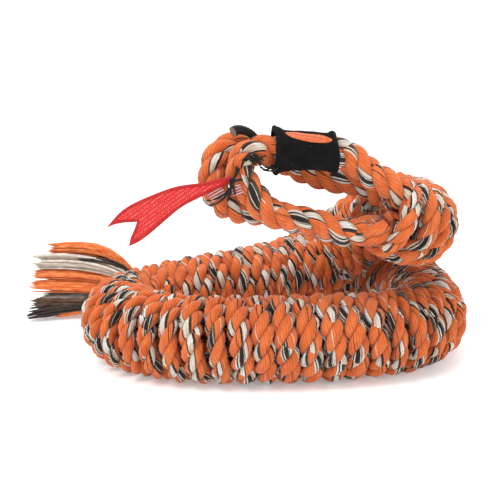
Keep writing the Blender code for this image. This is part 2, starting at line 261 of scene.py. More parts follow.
def add_hairs(build, rings, u, v, tag, count, seed):
    """Fine loose fibres that stand off the surface of a ply."""
    rng = np.random.RandomState(seed)
    rows, sides, _ = rings.shape
    i, j = rng.randint(1, rows - 2, count), rng.randint(0, sides, count)
    centre = rings.mean(axis=1)
    out = unit(rings[i, j] - centre[i])
    ahead = unit(centre[i + 1] - centre[i])
    turn = rng.uniform(0, TAU, (count, 1))
    flat = ahead * np.cos(turn) + np.cross(out, ahead) * np.sin(turn)
    side = np.cross(out, flat)
    length = rng.uniform(1.4, 4.2, (count, 1, 1)) * MM
    rise = rng.uniform(0.15, 0.75, (count, 1, 1))
    curl = rng.uniform(-0.5, 0.5, (count, 1, 1))
    t = np.array((0.0, 0.35, 0.7, 1.0))[None, :, None]
    points = (rings[i, j] - out * 0.15 * MM)[:, None] + length * (
        flat[:, None] * t + out[:, None] * rise * t * (1.3 - 0.6 * t) + side[:, None] * curl * t ** 2)
    points[:, :, 2] = np.maximum(points[:, :, 2], 0.4 * MM)
    size = 0.065 * MM * (1.0 - 0.7 * t)
    ring = TAU * np.arange(3) / 3
    verts = points[:, :, None] + size[..., None] * (
        out[:, None, None] * np.cos(ring)[None, None, :, None]
        + side[:, None, None] * np.sin(ring)[None, None, :, None])
    base = build.count
    build.verts.append(verts.reshape(-1, 3))
    build.count += count * 12
    quads = np.array([(row + s, row + (s + 1) % 3, row + 3 + (s + 1) % 3, row + 3 + s)
                      for row in (0, 3, 6) for s in range(3)])
    starts = base + 12 * np.arange(count)
    build.faces.extend((starts[:, None, None] + quads[None]).reshape(-1, 4).tolist())
    place = np.column_stack((u[i] + j / sides, v[i]))
    build.yarn.append(np.repeat(place, 36, axis=0))
    build.info.append(np.tile((tag, 1.0), (count * 36, 1)))
    for start, spot in zip(starts.tolist(), place):
        build.faces.extend(([start + 2, start + 1, start], [start + 9, start + 10, start + 11]))
        build.yarn.append(np.tile(spot, (6, 1)))
        build.info.append(np.tile((tag, 1.0), (6, 1)))


def lay_rope(build, centre, across_a, across_b, length, radius, lay, scale_b, tag, sides=12,
             v_start=0.0, floor=None, share=0.545, hairs=0):
    """Add a three-ply right-laid rope along a centreline. across_a and across_b are unit vectors
    across it, right-handed with its direction; scale_b widens it along across_b; share is the
    radius of a ply as a share of the rope's, and hairs the loose fibres on each ply."""
    ply_radius = radius * share
    ply_offset = radius - ply_radius
    theta = TAU * (length / lay + v_start)
    ring = TAU * np.arange(sides) / sides
    outward = np.cos(ring)
    for ply in range(3):
        angle = theta + TAU * ply / 3
        spoke = across_a * np.cos(angle)[:, None] + across_b * (np.sin(angle) * scale_b)[:, None]
        middle = centre + spoke * ply_offset
        direction = unit(np.gradient(middle, axis=0))
        out = unit(spoke - (spoke * direction).sum(1, keepdims=True) * direction)
        side = np.cross(direction, out)
        profile = ply_radius * (1.0 + 0.05 * np.cos(2 * ring))
        offset = (out[:, None, :] * (np.cos(ring) * profile)[None, :, None]
                  + side[:, None, :] * (np.sin(ring) * profile)[None, :, None])
        along_b = (offset * across_b[:, None, :]).sum(2, keepdims=True)
        offset += across_b[:, None, :] * along_b * (scale_b - 1.0)[:, None, None]
        rings = middle[:, None, :] + offset
        if floor is not None:
            rings[:, :, 2] = np.maximum(rings[:, :, 2], floor)
        turns, ply_tag = theta / TAU, tag + 0.31 * ply
        build.tube(rings, YARN_TURNS * turns, turns, ply_tag, outward)
        if hairs:
            add_hairs(build, rings, YARN_TURNS * turns, turns, ply_tag, hairs, len(rings) + ply)


# ---------------------------------------------------------------- materials

class Nodes:
    """Short helpers for making a node tree."""

    def __init__(self, name):
        self.material = bpy.data.materials.new(name)
        self.material.use_nodes = True
        self.tree = self.material.node_tree
        self.shader = self.tree.nodes["Principled BSDF"]

    def add(self, kind, **settings):
        node = self.tree.nodes.new(kind)
        for key, value in settings.items():
            setattr(node, key, value)
        return node

    def put(self, socket, value):
        if isinstance(value, bpy.types.NodeSocket):
            self.tree.links.new(value, socket)
        else:
            socket.default_value = value

    def math(self, operation, first, second=0.0):
        node = self.add("ShaderNodeMath", operation=operation)
        self.put(node.inputs[0], first)
        self.put(node.inputs[1], second)
        return node.outputs[0]

    def mul(self, first, second):
        return self.math("MULTIPLY", first, second)

    def plus(self, first, second):
        return self.math("ADD", first, second)

    def minus(self, first, second):
        return self.math("SUBTRACT", first, second)

    def wave(self, value, period):
        """Rounded ridges from 0 to 1, one for each period of the value."""
        return self.math("ABSOLUTE", self.math("SINE", self.mul(value, math.pi / period)))

    def combine(self, x=0.0, y=0.0, z=0.0):
        node = self.add("ShaderNodeCombineXYZ")
        for socket, value in zip(node.inputs, (x, y, z)):
            self.put(socket, value)
        return node.outputs[0]

    def noise(self, vector, scale=1.0, detail=2.0, roughness=0.5):
        node = self.add("ShaderNodeTexNoise")
        self.put(node.inputs["Vector"], vector)
        node.inputs["Scale"].default_value = scale
        node.inputs["Detail"].default_value = detail
        node.inputs["Roughness"].default_value = roughness
        return node.outputs["Fac"]

    def grain(self, *parts, detail=2.0, roughness=0.5, scale=1.0):
        """Noise; each part of its place is a number, a socket, or a socket with its scale."""
        place = [self.mul(*part) if isinstance(part, tuple) else part for part in parts]
        return self.noise(self.combine(*place), scale, detail, roughness)

    def ramp(self, value, stops, constant=False):
        node = self.add("ShaderNodeValToRGB")
        self.put(node.inputs[0], value)
        band = node.color_ramp
        band.interpolation = "CONSTANT" if constant else "LINEAR"
        band.elements.remove(band.elements[-1])
        band.elements[0].position = stops[0][0]
        band.elements[0].color = (*stops[0][1], 1.0)
        for position, colour in stops[1:]:
            band.elements.new(position).color = (*colour, 1.0)
        return node.outputs["Color"]

    def mix(self, factor, first, second, blend="MIX"):
        node = self.add("ShaderNodeMix", data_type="RGBA", blend_type=blend)
        node.clamp_factor = True
        self.put(node.inputs[0], factor)
        self.put(node.inputs[6], (*first, 1.0) if isinstance(first, tuple) else first)
        self.put(node.inputs[7], (*second, 1.0) if isinstance(second, tuple) else second)
        return node.outputs[2]

    def shade(self, colour, level):
        return self.mix(1.0, colour, self.combine(level, level, level), "MULTIPLY")

    def range(self, value, low, high, to_low=0.0, to_high=1.0, smooth=False):
        node = self.add("ShaderNodeMapRange")
        if smooth:
            node.interpolation_type = "SMOOTHSTEP"
        self.put(node.inputs[0], value)
        for socket, number in zip(node.inputs[1:5], (low, high, to_low, to_high)):
            socket.default_value = number
        return node.outputs[0]

    def bump(self, height, distance, strength=1.0):
        node = self.add("ShaderNodeBump")
        node.inputs["Strength"].default_value = strength
        node.inputs["Distance"].default_value = distance
        self.put(node.inputs["Height"], height)
        self.put(self.shader.inputs["Normal"], node.outputs[0])

    def uv(self, name):
        node = self.add("ShaderNodeUVMap", uv_map=name)
        split = self.add("ShaderNodeSeparateXYZ")
        self.put(split.inputs[0], node.outputs[0])
        return split.outputs[0], split.outputs[1]

    def finish(self, colour, rough, height, distance, strength=1.0, roughness=0.9, sheen=0.25,
               sheen_tint=(1.0, 0.9, 0.8), specular=0.2):
        """Set the shader of a cloth: rough is a socket or None, height drives the bump."""
        for name, value in (("Roughness", roughness), ("Metallic", 0.0), ("Sheen Weight", sheen),
                            ("Sheen Roughness", 0.45), ("Sheen Tint", (*sheen_tint, 1.0)),
                            ("Specular IOR Level", specular)):
            self.shader.inputs[name].default_value = value
        self.put(self.shader.inputs["Base Color"], colour)
        if rough is not None:
            self.put(self.shader.inputs["Roughness"], rough)
        self.bump(height, distance, strength)
        return self.material


def cloth_nodes(name):
    """Nodes of a cloth material, with its place (u, v) and the two values of its info map."""
    n = Nodes(name)
    return n, *n.uv("yarn"), *n.uv("info")


ORANGE = (0.63, 0.136, 0.033)
CREAM = (0.60, 0.53, 0.45)
BLACK = (0.018, 0.013, 0.011)
BROWN = (0.062, 0.034, 0.020)

STRANDS = 12                     # yarns that show round a ply
# Yarn colours round a ply, as shares of a turn
PLY_A = [(0.0, ORANGE), (0.33, BLACK), (0.37, CREAM), (0.57, BLACK), (0.62, BROWN), (0.66, ORANGE),
         (0.86, BROWN), (0.885, ORANGE)]
PLY_B = [(0.0, ORANGE), (0.26, CREAM), (0.31, BLACK), (0.35, CREAM), (0.39, BLACK), (0.52, CREAM),
         (0.54, BLACK), (0.56, CREAM), (0.64, BROWN), (0.66, ORANGE)]
PLY_C = [(0.0, ORANGE), (0.48, BROWN), (0.51, ORANGE), (0.64, BLACK), (0.71, CREAM), (0.86, BROWN),
         (0.90, ORANGE)]
PLY_D = [(0.0, ORANGE), (0.20, BROWN), (0.30, CREAM), (0.315, BLACK), (0.46, CREAM), (0.48, BROWN),
         (0.54, ORANGE), (0.75, CREAM), (0.77, ORANGE)]


def yarn_material(name, drift=0.30, streak=60.0, bump=0.00035):
    """Three-ply cotton: yarns of several colours run along each ply."""
    n, u, v, tag, outward = cloth_nodes(name)
    slow = n.grain((v, 0.55), (tag, 17.3), detail=1.0)
    fine = n.grain((u, 9.0), (v, 5.0), tag)
    wobble = n.mul(n.minus(fine, 0.5), 0.035)
    place = n.plus(n.plus(u, n.mul(n.minus(slow, 0.5), drift * 4)), n.plus(wobble, n.mul(tag, 0.77)))
    turn = n.math("FRACT", place)
    pick = n.grain((v, 0.8), n.plus(n.mul(tag, 9.1), 40.0), detail=0.0)
    colour = n.ramp(turn, PLY_A, True)
    for test, limit, stops in (("GREATER_THAN", 0.52, PLY_B), ("LESS_THAN", 0.43, PLY_C),
                               ("GREATER_THAN", 0.62, PLY_D)):
        colour = n.mix(n.math(test, pick, limit), colour, n.ramp(turn, stops, True))
    fibres = n.grain((u, streak), (v, 7.0), tag, detail=3.0, roughness=0.65)
    patchy = n.grain((u, 3.0), (v, 2.2), tag)
    strand = n.wave(n.plus(u, wobble), 1 / STRANDS)
    # light is the fibres' own tone times a painted shade that darkens the grooves between the yarns of a ply
    light = n.mul(n.range(fibres, 0.28, 0.72, 0.66, 1.22), n.range(strand, 0.0, 0.5, 0.60, 1.05))
    tint = n.ramp(patchy, [(0.3, (0.88, 0.74, 0.66)), (0.5, (1.0, 1.0, 1.0)), (0.70, (1.06, 1.22, 1.40))])
    colour = n.shade(n.mix(1.0, colour, tint, "MULTIPLY"), light)
    # painted shade: the inner side of each ply, in the creases where the plies meet, darkens towards a deep
    # brown
    crease_shade = n.range(outward, -0.45, 0.42, 1.0, 0.0, True)
    colour = n.mix(n.mul(crease_shade, 0.90), colour, n.mix(1.0, colour, (0.24, 0.12, 0.085), "MULTIPLY"))
    return n.finish(colour, n.range(fibres, 0.2, 0.8, 0.80, 0.97), n.plus(n.mul(strand, 0.45), fibres), bump,
                    sheen=0.22)


def plain_yarn_material(name, base, light, streak=14.0):
    """Loose yarn of one colour, with fibres along it."""
    n, u, v, tag, _ = cloth_nodes(name)
    fibres = n.grain((u, streak), (v, 5.0), (tag, 5.0), detail=3.0, roughness=0.65)
    shade = n.grain((tag, 3.7), (v, 0.6), detail=1.0)
    colour = n.shade(n.mix(n.range(shade, 0.3, 0.7), base, light), n.range(fibres, 0.28, 0.72, 0.66, 1.25))
    return n.finish(colour, None, fibres, 0.0003, sheen=0.3)


# ---------------------------------------------------------------- wound body

SAMPLES_PER_SPAN = 24
SAMPLES_PER_TURN = 54


def body_samples():
    route = catmull(BODY_ROUTE, SAMPLES_PER_SPAN) * MM
    centre = route[:, :3] + SHIFT
    radius = route[:, 3]
    direction = unit(np.gradient(centre, axis=0))
    up = unit(np.array((0.0, 0.0, 1.0)) - direction * direction[:, 2:3])
    side = np.cross(direction, up)
    return centre, direction, up, side, radius


def wound_rope_path():
    """Centreline of the rope wound round the core, with its cross frame and widths."""
    centre, direction, up, side, radius = body_samples()
    s = arc_length(centre)
    bend = np.linalg.norm(np.gradient(direction, axis=0), axis=1) / np.gradient(s)
    stretch = 1.0 + running_mean(bend, 12) * (radius - ROPE_RADIUS)
    spacing = ROPE_SPACING * np.minimum(1.0, 1.08 / stretch)
    turns = np.concatenate(([0.0], np.cumsum(np.diff(s) * 2 / (spacing[1:] + spacing[:-1]))))
    count = int(turns[-1] * SAMPLES_PER_TURN)
    turn = np.arange(count) / SAMPLES_PER_TURN
    wander = smooth_noise(count, int(turns[-1] * 1.4), 5) * 0.05
    at = np.interp(turn + wander, turns, s)

    def field(values):
        return np.column_stack([np.interp(at, s, values[:, k]) for k in range(values.shape[1])])

    reach = np.interp(at, s, radius) - ROPE_RADIUS + 0.3 * MM
    reach = reach + 0.3 * smooth_noise(count, int(turns[-1] * 3), 8) * MM
    last = turn[-1] - turn
    reach = reach - np.clip(1.0 - last / 0.3, 0, 1) ** 2 * 6.0 * MM
    reach = reach - np.clip(1.0 - turn / 0.3, 0, 1) ** 2 * 4.0 * MM
    angle = TAU * turn
    spoke = unit(field(up)) * np.cos(angle)[:, None] + unit(field(side)) * np.sin(angle)[:, None]
    path = field(centre) + spoke * reach[:, None]
    ahead = unit(np.gradient(path, axis=0))
    out = unit(spoke - (spoke * ahead).sum(1, keepdims=True) * ahead)
    along = np.cross(ahead, out)
    gap = np.full(count, ROPE_SPACING)
    hop = np.linalg.norm(path[SAMPLES_PER_TURN:] - path[:-SAMPLES_PER_TURN], axis=1)
    half = SAMPLES_PER_TURN // 2
    gap[half:half + len(hop)] = hop
    width = running_mean(np.clip(gap / ROPE_SPACING, 0.60, 1.28) * 1.14, 4)
    return path, out, along, arc_length(path), width, at, s


def build_wound_rope(material):
    path, out, along, length, width, at, s = wound_rope_path()
    cuts = [s[min(point * SAMPLES_PER_SPAN, len(s) - 1)] for point in (*COIL_CUTS, HINGE_PIECE_END)]
    indices = [0] + [int(np.argmax(at >= cut)) for cut in cuts[1:]] + [len(path) - 1]
    names = ["tail", "rear", "right", "front", "left_front", "left_back", "back_run", "crossing", "neck"]
    pieces = {}
    for name, first, last in zip(names, indices, indices[1:]):
        build = Build()
        part = slice(first, last + 1)
        lay_rope(build, path[part], out[part], along[part], length[part], ROPE_RADIUS, LAY_LENGTH,
                 width[part], 0.1, floor=0.0002, hairs=(last - first) // 4)
        pieces[name] = build.object("wound_rope_" + name, material)
    return pieces


rope_material = yarn_material("three_ply_cotton")
wound = build_wound_rope(rope_material)
WOUND_NODES = {
    "tail": ["tail_winding", "tail_run_winding"],
    "rear": ["rear_winding", "rear_bend_winding"],
    "right": ["right_winding", "right_bend_winding"],
    "front": ["front_winding"],
    "left_front": ["left_bend_winding_1", "left_bend_winding_2"],
    "left_back": ["left_bend_winding_3"],
    "back_run": ["back_run_winding"],
    "crossing": ["upper_bend_winding_1"],
    "neck": ["upper_bend_winding_2", "upper_bend_winding_3", "neck_winding"],
}
hinge_ahead = np.array((0.874, 0.486, 0.25))
hinge_ahead /= np.linalg.norm(hinge_ahead)
for key, nodes in WOUND_NODES.items():
    piece = wound[key]
    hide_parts(*nodes)
    if key == "crossing":
        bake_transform(piece)
    else:
        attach(piece, "neck" if key == "neck" else "coil")


# ---------------------------------------------------------------- core

def build_core(name, first, last, material):
    """Three core ropes from one route point to another."""
    centre, _, up, side, radius = body_samples()
    part = slice(first * SAMPLES_PER_SPAN, last * SAMPLES_PER_SPAN + 1)
    build = Build()
    for number in range(3):
        angle = TAU * number / 3
        path = (centre + up * (math.cos(angle) * 0.27 * radius)[:, None]
                + side * (math.sin(angle) * 0.27 * radius)[:, None])[part]
        path = resample(path, int(arc_length(path)[-1] / LAY_LENGTH * 8))
        _, a, b = transport_frames(path)
        lay_rope(build, path, a, b, arc_length(path), 5.2 * MM, LAY_LENGTH, np.ones(len(path)), number * 1.7,
                 sides=8)
    return build.object(name, material)


core = build_core("core_ropes_coil", 0, HINGE_POINT, rope_material)
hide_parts("core_rope_a", "core_rope_b", "core_rope_c")
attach(core, "coil")
neck_core = build_core("core_ropes_neck", HINGE_POINT, len(BODY_ROUTE) - 1, rope_material)
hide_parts("neck_core_rope_a", "neck_core_rope_b", "neck_core_rope_c")
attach(neck_core, "neck")


# ---------------------------------------------------------------- head loops

def build_loop(name, points, material, tag, v_start):
    route = catmull(np.array(points, float) * MM + SHIFT, 12)
    path = resample(route, int(arc_length(route)[-1] / LOOP_LAY_LENGTH * 22))
    _, a, b = transport_frames(path)
    build = Build()
    lay_rope(build, path, a, b, arc_length(path), LOOP_ROPE_RADIUS, LOOP_LAY_LENGTH, np.ones(len(path)),
             tag, sides=18, v_start=v_start, share=0.515, hairs=420)
    return build.object(name, material), path


loop_material = yarn_material("three_ply_cotton_loops", streak=75.0, bump=0.0004)
for label, points, tag, v_start in (("near", NEAR_LOOP, 3.3, 0.10), ("far", FAR_LOOP, 5.9, 0.55)):
    loop, path = build_loop(f"{label}_jaw_rope", points, loop_material, tag, v_start)
    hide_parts(f"{label}_jaw_loop")
    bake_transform(loop)


# ---------------------------------------------------------------- sleeve

def lay_sheet(build, top, bottom, yarn, info, closed=False, cap=False):
    """Closed sheet between two grids of points (rows, columns, 3). closed joins the last column to
    the first; cap closes the first row with a face instead of an edge."""
    rows, columns, _ = top.shape
    base, under = build.count, rows * columns
    build.verts += [top.reshape(-1, 3), bottom.reshape(-1, 3)]
    build.count += 2 * under
    spans = range(columns if closed else columns - 1)

    def put(spots, sides):
        build.face([base + side * under + i * columns + j % columns for (i, j), side in zip(spots, sides)],
                   [yarn[i, j % yarn.shape[1]] for i, j in spots], [info[i] for i, j in spots])

    for i in range(rows - 1):
        for j in spans:
            spots = [(i, j), (i, j + 1), (i + 1, j + 1), (i + 1, j)]
            put(spots, (0, 0, 0, 0))
            put(spots[::-1], (1, 1, 1, 1))
    edges = []
    for j in spans:
        if not cap:
            edges.append(((0, j + 1), (0, j)))
        edges.append(((rows - 1, j), (rows - 1, j + 1)))
    if cap:
        spots = [(0, j) for j in range(columns)]
        put(spots[::-1], [0] * columns)
        put(spots, [1] * columns)
    if not closed:
        for i in range(rows - 1):
            edges += [((i, 0), (i + 1, 0)), ((i + 1, columns - 1), (i, columns - 1))]
    for first, second in edges:
        put([first, second, second, first], (0, 0, 1, 1))


def cloth_sheet(name, material, points, normals, u, v, tag, thickness, closed=False):
    """Cloth of even thickness round a grid of points; u is per row and v per column."""
    offset = normals * thickness / 2
    build = Build()
    lay_sheet(build, points + offset, points - offset, np.stack(np.meshgrid(u, v, indexing="ij"), axis=2),
              [(tag, 0.0)] * len(u), closed)
    return clean(build.object(name, material))


def knit_material(name, base=(0.0045, 0.0042, 0.0042), worn=(0.014, 0.013, 0.013)):
    """Black knitted fabric: columns of stitches, soft wear and a few specks of lint. u and v are
    millimetres along and round the sleeve."""
    n, u, v, tag, _ = cloth_nodes(name)
    column = n.wave(v, 0.9)
    stitch = n.wave(n.minus(n.mul(u, 1.0 / 0.75), n.mul(column, 0.45)), 1.0)
    loops = n.mul(column, n.plus(n.mul(stitch, 0.6), 0.4))
    soft = n.grain(u, v, tag, scale=0.13, detail=3.0)
    fuzz = n.grain((u, 2.6), (v, 2.6), tag, detail=4.0, roughness=0.7)
    colour = n.mix(n.mul(n.range(soft, 0.38, 0.72), n.range(fuzz, 0.3, 0.75, 0.35, 1.0)), base, worn)
    # painted shade: the gaps between the stitch loops darken to near black
    colour = n.mix(n.range(loops, 0.0, 0.5, 0.75, 0.0), colour, (0.004, 0.004, 0.005))
    lint = n.grain((u, 0.8), (v, 1.4), n.plus(tag, 7.0), roughness=0.6)
    colour = n.mix(n.range(lint, 0.755, 0.775), colour, (0.34, 0.32, 0.30))
    return n.finish(colour, n.range(fuzz, 0.2, 0.8, 0.86, 1.0), n.plus(n.mul(loops, 0.8), n.mul(fuzz, 0.7)),
                    0.00035, 0.8, sheen=0.02, sheen_tint=(0.8, 0.8, 0.85), specular=0.08)


SLEEVE_AHEAD = unit(np.array(NEAR_LOOP[6], float) - np.array(NEAR_LOOP[9], float))
SLEEVE_FRONT = np.array(NEAR_LOOP[9], float) + SLEEVE_AHEAD * 2.0 / SLEEVE_AHEAD[0]
SLEEVE_LENGTH = 29.5
SLEEVE_GIRTH = 63.0
SLEEVE_SIDE = unit(np.cross(SLEEVE_AHEAD, (0.0, 0.0, 1.0)))
SLEEVE_UP = np.cross(SLEEVE_SIDE, SLEEVE_AHEAD)
SLEEVE_HALF = (10.2, 10.5)       # half depth and half height at the front edge
SLEEVE_TAPER = 0.90
SLEEVE_SQUARENESS = 2.35         # exponent of its rounded-square section; 2 is an ellipse
OVAL_HALF = (13.2, 3.1)          # half length and half width
OVAL_CENTRE = 15.6               # from the sleeve's front edge
OVAL_ANGLE = math.radians(50.0)  # up from the viewer's side
OVAL_TILT = 0.125
SLEEVE_HALF_MEAN = 10.3


def sleeve_surface(x, angle, lift=0.0):
    """Point of the sleeve and its normal; x is in mm from the front edge, the angle from the
    viewer's side upward."""
    t = np.clip(x / SLEEVE_LENGTH, -0.2, 1.2)
    size = 1.0 + (SLEEVE_TAPER - 1.0) * t
    size = size - 0.020 * np.sin(math.pi * np.clip(t, 0, 1))
    flare = np.exp(-(t / 0.09) ** 2) * (0.25 + 1.3 * np.sin(angle) ** 6)
    flare = flare + np.exp(-((1 - t) / 0.08) ** 2) * 0.35
    fold = 0.22 * np.sin(3 * angle + 5.0 * t) + 0.14 * np.sin(7 * angle - 9.0 * t + 1.0)
    fold = fold + 0.10 * np.sin(11 * angle + 17.0 * t + 2.0)
    c, s = np.cos(angle), np.sin(angle)
    a, b = SLEEVE_HALF
    power = SLEEVE_SQUARENESS
    reach = (np.abs(c / a) ** power + np.abs(s / b) ** power) ** (-1 / power)
    reach = reach * size + flare + fold + lift
    spoke = c[..., None] * SLEEVE_SIDE + s[..., None] * SLEEVE_UP
    point = SLEEVE_FRONT + SLEEVE_AHEAD * x[..., None] + spoke * reach[..., None]
    return point * MM + SHIFT, spoke


def build_sleeve(material):
    rows, columns = 46, 112
    x = np.linspace(-0.3, SLEEVE_LENGTH + 0.3, rows)
    grid_x, grid_a = np.meshgrid(x, TAU * np.arange(columns) / columns, indexing="ij")
    points, spoke = sleeve_surface(grid_x, grid_a)
    return cloth_sheet("sleeve_cloth", material, points, spoke, x,
                       np.arange(columns + 1) / columns * SLEEVE_GIRTH, 0.4, 1.2 * MM, closed=True)


def build_hem(name, material, place, radius, seed, lean=0.0, tuck=0.0):
    """Rolled edge: a tube round the sleeve's end with the turns of the roll showing."""
    sides, count = 14, 120
    angle = TAU * np.arange(count + 1) / count
    x = np.full(count + 1, place) + lean * np.sin(angle) + 0.25 * np.sin(3 * angle + seed)
    grip = 0.18 * np.sin(5 * angle + seed) + 0.12 * np.sin(9 * angle + 2 * seed)
    points, spoke = sleeve_surface(x, angle, lift=-tuck + 0 * angle)
    ring = TAU * np.arange(sides) / sides
    size = (radius + grip)[:, None] * (1.0 + 0.10 * np.cos(2 * ring + 0.8)[None, :]) * MM
    ahead = np.broadcast_to(SLEEVE_AHEAD, spoke.shape)
    rings = sweep(points, spoke, ahead, np.cos(ring) * size, np.sin(ring) * size)
    build = Build()
    build.tube(rings, np.zeros(count + 1), np.linspace(0, SLEEVE_GIRTH, count + 1), 0.7 + seed, np.cos(ring),
               caps=False)
    build.yarn = [np.column_stack((block[:, 0] * 9.0, block[:, 1])) for block in build.yarn]
    return clean(build.object(name, material), merge=1e-6)


def embroidery(name, base, groove_shade, pale, pitch, turn):
    """Satin stitches side by side; u is along the piece and v across it, in millimetres."""
    n, u, v, tag, rim = cloth_nodes(name)
    wander = n.grain((u, 0.8), (v, 0.8), tag)
    along = n.plus(n.plus(u, n.mul(v, turn)), n.mul(wander, 0.35))
    thread = n.wave(along, pitch)
    each = n.grain(n.math("FLOOR", n.math("DIVIDE", along, pitch)), (v, 0.25), tag, scale=3.1, detail=1.0)
    colour = n.mix(n.range(each, 0.35, 0.65), base, pale)
    # painted shade: the grooves between the satin stitches are darkened
    colour = n.mix(n.range(thread, 0.0, 0.55, 0.85, 0.0), colour, groove_shade)
    return n, u, v, tag, rim, thread, each, colour


def oval_material():
    # the third colour is the painted shade in the grooves between the stitches
    n, _, v, _, rim, thread, each, colour = embroidery(
        "oval_embroidery", (0.72, 0.115, 0.022), (0.25, 0.03, 0.010), (0.86, 0.22, 0.07), 0.42, 0.35)
    seam = n.mul(n.range(n.math("ABSOLUTE", v), 0.10, 0.38, 1.0, 0.0), n.math("LESS_THAN", rim, 0.78))
    colour = n.mix(n.mul(seam, 0.55), colour, (0.22, 0.026, 0.012))
    return n.finish(colour, n.range(each, 0.3, 0.7, 0.45, 0.68), thread, 0.00025, 0.9,
                    roughness=0.55, sheen=0.12, specular=0.35)


def build_oval(material):
    """Plain embroidered oval that follows the sleeve, slightly tilted."""
    rho = np.linspace(0.0, 1.0, 12)[1:]
    r, p = np.meshgrid(rho, TAU * np.arange(72) / 72, indexing="ij")
    ragged = 1.0 + (r > 0.99) * 0.02 * np.sin(23 * p)
    along = OVAL_HALF[0] * r * np.cos(p) * ragged
    across = OVAL_HALF[1] * r * np.sin(p) * (1.0 - 0.10 * np.cos(p)) * ragged
    x = OVAL_CENTRE + along
    angle = OVAL_ANGLE + (across - OVAL_TILT * along) / SLEEVE_HALF_MEAN
    lift = 0.25 + 0.85 * np.clip((1.0 - r ** 5), 0, 1) ** 0.5 - 0.22 * np.exp(-((r - 0.72) / 0.05) ** 2)
    top, _ = sleeve_surface(x, angle, lift=lift)
    bottom, _ = sleeve_surface(x, angle, lift=np.full_like(lift, -0.1))
    build = Build()
    lay_sheet(build, top, bottom, np.stack((along, across), axis=2), [(0.5, share) for share in rho],
              closed=True, cap=True)
    return clean(build.object("sleeve_oval", material))


knit = knit_material("black_knit")
hem_knit = knit_material("black_knit_hem", (0.005, 0.005, 0.006), (0.016, 0.016, 0.018))
sleeve = build_sleeve(knit)
front_hem = build_hem("sleeve_hem_front", hem_knit, -0.9, 1.45, 0.3, lean=-0.6)
rear_hem = build_hem("sleeve_hem_rear", hem_knit, SLEEVE_LENGTH + 0.9, 1.95, 1.9, lean=-1.4, tuck=0.5)
oval = build_oval(oval_material())
for piece, node, slot in ((sleeve, "sleeve", "sleeve_knit"), (front_hem, "sleeve_front_hem", "sleeve_knit"),
                          (rear_hem, "sleeve_rear_hem", "sleeve_knit"),
                          (oval, "sleeve_patch", "patch_thread")):
    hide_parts(node)
    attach(piece, "head_sleeve")


# ---------------------------------------------------------------- tongue

TONGUE_ROOT = np.array((-22.6, -104.6, 119.6))
TONGUE_TILT = math.radians(24)
TONGUE_OUTLINE = [
    (0, 1.8), (8, 3.0), (15.9, 5.0), (26.9, 8.0), (39.2, 9.2), (51.6, 9.2), (61.1, 7.6), (71.3, 3.0),
    (66.5, 2.9), (61, 1.7), (54.7, -0.4), (57.7, -3.5), (61.6, -6.9), (64.6, -10.8), (57.9, -10.5),
    (49.5, -8.5), (39.3, -5.4), (31.7, -3.2), (25, -2.2), (13.5, -1.9), (0, -1.8),
]
TONGUE_CORNERS = (0, 7, 10, 13, 20)


def tongue_border():
    """Outline of the tongue as a closed run of points about 0.8 mm apart, smooth between corners."""
    outline = np.array(TONGUE_OUTLINE, float)
    runs = []
    for first, last in zip(TONGUE_CORNERS, TONGUE_CORNERS[1:]):
        curve = catmull(outline[first:last + 1], 10)
        runs.append(resample(curve, max(3, int(arc_length(curve)[-1] / 0.8)))[:-1])
    closing = np.linspace(outline[-1], outline[0], 6)[:-1]
    return np.vstack(runs + [closing])


def tongue_material():
    """Red satin border round a field of rows of slanting stitches with pale gaps."""
    # the third colour is the painted shade in the grooves between the satin stitches of the border
    n, u, v, tag, rim, _, _, border = embroidery(
        "red_embroidery", (0.64, 0.008, 0.010), (0.20, 0.001, 0.002), (0.80, 0.024, 0.022), 0.85, 0.9)
    row = n.math("DIVIDE", n.plus(v, n.mul(u, 0.22)), 1.9)
    flip = n.minus(n.mul(n.math("PINGPONG", row, 1.0), 2.0), 1.0)
    stitch = n.wave(n.plus(n.math("DIVIDE", u, 1.5), n.mul(flip, 0.55)), 1.0)
    between = n.wave(row, 1.0)
    grain = n.grain((u, 1.2), (v, 1.2), tag, detail=3.0, roughness=0.6)
    # painted shade: the fill darkens from the crest of each stitch into the groove beside it
    fill = n.mix(n.range(stitch, 0.15, 0.75), (0.34, 0.004, 0.007), (0.76, 0.026, 0.026))
    pale = n.mul(n.range(between, 0.40, 0.10), n.range(grain, 0.44, 0.60))
    fill = n.mix(n.mul(pale, 0.75), fill, (0.88, 0.34, 0.28))
    inner = n.range(rim, 1.45, 1.75)
    seam = n.minus(1.0, n.range(n.math("ABSOLUTE", n.minus(rim, 1.6)), 0.0, 0.28))
    colour = n.mix(n.mul(seam, 0.6), n.mix(inner, border, fill), (0.20, 0.002, 0.004))
    satin = n.wave(n.plus(u, n.mul(v, 0.9)), 0.85)
    field = n.plus(n.mul(stitch, 0.7), n.mul(between, 0.5))
    height = n.plus(n.mul(satin, n.minus(1.0, inner)), n.mul(field, inner))
    return n.finish(colour, n.range(grain, 0.3, 0.7, 0.42, 0.62), height, 0.0006, roughness=0.5, sheen=0.03,
                    specular=0.35)


